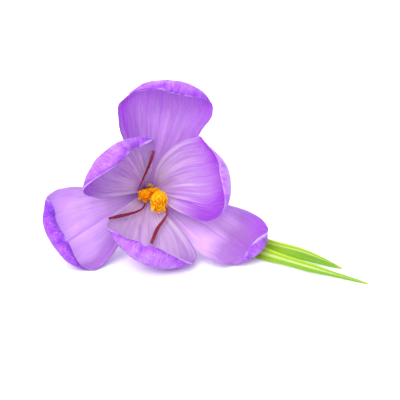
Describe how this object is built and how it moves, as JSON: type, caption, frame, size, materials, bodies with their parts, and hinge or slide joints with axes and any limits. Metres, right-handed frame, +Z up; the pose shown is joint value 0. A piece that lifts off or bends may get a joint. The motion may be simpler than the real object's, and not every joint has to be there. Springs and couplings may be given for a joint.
{
  "type": "saffron crocus flower",
  "caption": "Open violet crocus flower lying on its side as picked, with a frilled orange style head, crimson stigma branches, narrow green leaves and a papery sheath.",
  "frame": {"origin": "middle of the underside of the bounding box, on the surface that the flower lies on", "axes": "+Z up from the surface; the flower faces -Y and a little up, and the leaves run out towards +X"},
  "size_m": [0.1256, 0.106, 0.0672],
  "materials": {
    "tepal": "satin",
    "tube": "satin",
    "sheath": "matte",
    "leaf": "satin",
    "style_head": "satin",
    "stigma": "satin",
    "stamen": "matte"
  },
  "bodies": {
    "root": {"tepal_outer_top": "tepal", "tepal_outer_left": "tepal", "tepal_outer_right": "tepal", "tepal_inner_left": "tepal", "tepal_inner_right": "tepal", "tepal_inner_lower": "tepal", "leaf_near": "leaf", "leaf_far": "leaf", "perianth_tube": "tube", "sheath": "sheath", "style_head": "style_head", "stigma_branch_upper": "stigma", "stigma_branch_left": "stigma", "stigma_branch_lower": "stigma", "stamen_1": "stamen", "stamen_2": "stamen", "stamen_3": "stamen"}
  },
  "joints": []
}
